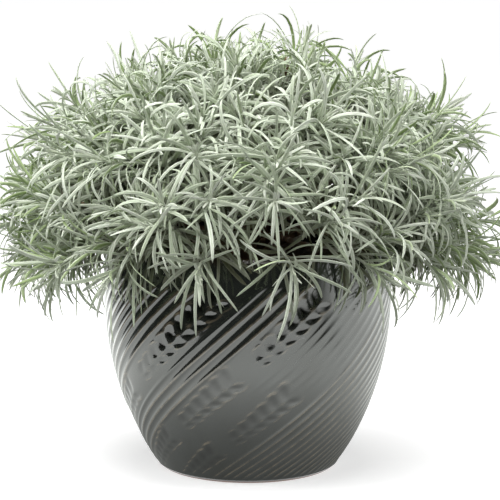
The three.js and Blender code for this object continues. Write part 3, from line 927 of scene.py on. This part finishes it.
def floor_material():
    """White, glowing bright enough away from the pot to meet the white studio without an edge, and
    glowing less near the pot as a painted shadow.
    """
    n = Nodes("pale_floor_painted_shadow", Roughness=0.9, Specular_IOR_Level=0.0)
    n.shader.inputs["Base Color"].default_value = (0.62, 0.62, 0.62, 1)
    n.shader.inputs["Emission Color"].default_value = (1, 1, 1, 1)
    place = n.node("ShaderNodeTexCoord").outputs["Object"]
    away = n.node("ShaderNodeVectorMath", operation="LENGTH")
    n.link(place, away.inputs[0])
    # Painted shadow: the glow falls from 1 away from the pot to 0.6 round its foot.
    n.link(n.span(away.outputs["Value"], 0.1, 0.21, 0.6, 1.0), n.shader.inputs["Emission Strength"])
    return n.material


# ---------------------------------------------------------------- pieces


def numbered(name, number):
    return f"{name}_{number:02}"


def add_plant():
    """Stems, and for each shoot a piece of stalks and a piece of leaves."""
    leaf, stalk, bark = leaf_material(), stalk_material(), bark_material()
    stems, shoots = grow_frame()
    for number, curve in enumerate(stems, 1):
        skin = Skin()
        t = np.linspace(0, 1, 28)
        knots = 1 + 0.1 * np.sin(t * 40 + number) * np.sin(t * 17 + 2 * number)
        add_tube(skin, bezier(curve, t), mixed(*STEM_RADII, t) * knots, 14, age=1 - 0.3 * t)
        name = numbered("stem", number)
        add_piece(name + "_bark", skin.mesh(name + "_bark"), bark, "bark", name)
    leaders = np.array([curve[-1] for curve in shoots])
    tips = dome_tips()
    owner = np.linalg.norm(tips[:, None] - leaders[None], axis=2).argmin(1)
    for number, shoot in enumerate(shoots):
        stalks, leaves = Skin(), Skin()
        add_stalk(stalks, shoot, *SHOOT_RADII, 0.9, 0.0)
        add_leaves(leaves, shoot, *SHOOT_LEAVES, rng.uniform(0.92, 1.08))
        for tip in tips[owner == number]:
            if np.linalg.norm(tip - leaders[number]) < TIP_SPACING * 0.5:
                continue
            twig = twig_curve(shoot, tip)
            add_stalk(stalks, twig, *TWIG_RADII, 0.5, 0.0)
            add_leaves(leaves, twig, *TWIG_LEAVES, rng.uniform(0.85, 1.1))
        name = numbered("leafy_shoot", number + 1)
        add_piece(name + "_stalks", stalks.mesh(name + "_stalks"), stalk, "foliage", name)
        add_piece(name + "_leaves", leaves.mesh(name + "_leaves"), leaf, "foliage", name)


def remeshed(node, voxel, rounds, depth, grain):
    """A copy of a CAD node's mesh, remeshed, smoothed and roughened inwards with clouds."""
    piece = bpy.data.objects.new(node + "_fine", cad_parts[node].data.copy())
    bpy.context.scene.collection.objects.link(piece)
    texture = bpy.data.textures.new(node + "_clouds", "CLOUDS")
    texture.noise_scale = grain
    texture.noise_depth = 3
    remesh = piece.modifiers.new("remesh", "REMESH")
    remesh.mode = "VOXEL"
    remesh.voxel_size = voxel
    soften = piece.modifiers.new("soften", "SMOOTH")
    soften.iterations = rounds
    displace = piece.modifiers.new("displace", "DISPLACE")
    displace.texture = texture
    displace.texture_coords = "LOCAL"
    displace.strength = depth
    displace.mid_level = 1.0
    shape = piece.evaluated_get(bpy.context.evaluated_depsgraph_get())
    mesh = bpy.data.meshes.new_from_object(shape)
    bpy.data.objects.remove(piece)
    mesh.shade_smooth()
    return mesh


def add_pot_and_mix():
    add_piece("pot_glazed", pot_mesh(), glaze_material(), "glazed_pot", "pot")
    soil = remeshed("potting_mix", 2.6 * MM, 2, 2.4 * MM, 6 * MM)
    add_piece("potting_mix_loose", soil, mix_material(), "potting_mix", "potting_mix")
    crown = remeshed("root_crown", 1.5 * MM, 6, 2 * MM, 7 * MM)
    add_piece("root_crown_bark", crown, bark_material(), "bark", "root_crown")


# ---------------------------------------------------------------- floor, lights and camera


def aim(direction, axis):
    return Vector(direction).to_track_quat(axis, "Y")


def add_floor():
    bpy.ops.mesh.primitive_circle_add(vertices=96, radius=9, fill_type="NGON")
    floor = bpy.context.object
    floor.name = "floor"
    floor.data.materials.append(floor_material())
    # The floor lights no leaves from below: the table bounce does that.
    floor.visible_diffuse = False
    floor.visible_shadow = False
    floor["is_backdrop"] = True


def painted_reflection_material():
    """Black, but for each point's own glow, which paints a reflection in the glaze."""
    n = Nodes("card", Roughness=1.0, Specular_IOR_Level=0.0)
    n.shader.inputs["Base Color"].default_value = (0, 0, 0, 1)
    n.shader.inputs["Emission Color"].default_value = (0.97, 1, 0.96, 1)
    n.link(n.value("glow"), n.shader.inputs["Emission Strength"])
    return n.material


def add_card(name, rows, glow):
    """A glowing sheet all round the pot through (radius, height) rows, which shows only in the glaze: a
    painted reflection.
    """
    count = 96
    radii, heights = np.array(rows).T[:, :, None]
    turns = np.radians(np.linspace(-180, 180, count))[None, :]
    places = np.stack((radii * np.sin(turns), -radii * np.cos(turns), heights + 0 * turns), 2)
    faces = [
        (row * count + i, row * count + i + 1, (row + 1) * count + i + 1, (row + 1) * count + i)
        for row in range(len(rows) - 1)
        for i in range(count - 1)
    ]
    mesh = bpy.data.meshes.new(name)
    mesh.from_pydata(places.reshape(-1, 3).tolist(), [], faces)
    values = np.broadcast_to(glow(radii, np.degrees(turns)), places.shape[:2])
    attribute = mesh.attributes.new("glow", "FLOAT", "POINT")
    attribute.data.foreach_set("value", values.astype(np.float32).ravel())
    mesh.materials.append(painted_reflection_material())
    card = bpy.data.objects.new(name, mesh)
    bpy.context.scene.collection.objects.link(card)
    for ray in ("camera", "diffuse", "shadow", "transmission"):
        setattr(card, "visible_" + ray, False)
    card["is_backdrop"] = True


def table_glow(radius, turn):
    """Painted shadow of the plant on the table, seen only in the glaze: dark at every turn, and white
    past it.
    """
    return mixed(0.14, 1.04, smooth(0.05, 0.31, radius)) + 0 * turn


def room_glow(radius, turn):
    """Painted reflection of the room: unlit at the front and left, white at the right and back, and soft
    by the table's right.
    """
    lit = 1 - smooth(-135, -112, turn) + smooth(50, 72, turn)
    near = (1 - smooth(0.55, 0.95, radius)) * smooth(0, 25, turn)
    return 0.003 + np.maximum(lit * np.where(turn < 0, 1.5, 1.1), near)


def add_cards():
    """Painted reflections for the glaze: the plant's shade on the table, and the room round the table.
    """
    table_edge, nearest, wall, wall_top = 0.5, 0.95, 3, 1.4
    table = [(radius, 0.003) for radius in np.linspace(0.06, table_edge, 23)]
    room = [(radius, 0.004) for radius in (*np.linspace(table_edge, nearest, 10), wall)]
    room.append((wall, wall_top))
    # A painted shadow of the plant on the table, and a painted reflection of the room, both shown only
    # in the glaze.
    add_card("painted_table_shade", table, table_glow)
    add_card("room", room, room_glow)


def add_area(name, centre, target, width, height, power):
    light = bpy.data.lights.new(name, "AREA")
    light.shape = "RECTANGLE"
    light.size, light.size_y = width, height
    light.energy = power
    lamp = bpy.data.objects.new(name, light)
    lamp.location = centre
    lamp.rotation_mode = "QUATERNION"
    lamp.rotation_quaternion = aim(np.array(target) - np.array(centre), "-Z")
    bpy.context.scene.collection.objects.link(lamp)
    return lamp


def add_studio():
    add_floor()
    world = bpy.data.worlds.new("studio")
    bpy.context.scene.world = world
    world.use_nodes = True
    world.node_tree.nodes["Background"].inputs["Color"].default_value = (1, 1, 1, 1)
    world.node_tree.nodes["Background"].inputs["Strength"].default_value = 1.0
    world.cycles_visibility.diffuse = False
    add_area("top_softbox", (-0.3, -0.4, 1.5), (0, 0, 0.25), 1.2, 1.2, 32)
    add_area("front_fill", (0.6, -3.0, 1.3), (0, 0, 0.2), 2.4, 1.6, 14)
    for name, x in (("left_softbox", -1.7), ("right_softbox", 1.7)):
        add_area(name, (x, -0.2, 0.7), (0, 0, 0.2), 0.7, 1.2, 12).visible_glossy = False
    add_area("table_bounce", (0, 0, -0.02), (0, 0, 1), 2.4, 2.4, 7)
    add_cards()
    bpy.context.scene.view_settings.view_transform = "Standard"


def add_camera():
    """A long lens that looks down on the plant from the front."""
    aside, away, height, pitch = 0.0018, 2.1, 0.54, math.radians(9.4)
    camera = bpy.data.objects.new("camera", bpy.data.cameras.new("camera"))
    camera.data.lens = 172.7
    camera.location = (aside, -away, height)
    camera.rotation_euler = (math.pi / 2 - pitch, 0, 0)
    bpy.context.scene.collection.objects.link(camera)
    bpy.context.scene.camera = camera


add_pot_and_mix()
add_plant()
add_studio()
add_camera()
boxes = {"cad": cad_box, "visual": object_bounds()}
{key: [list(corner) for corner in box] for key, box in boxes.items()}
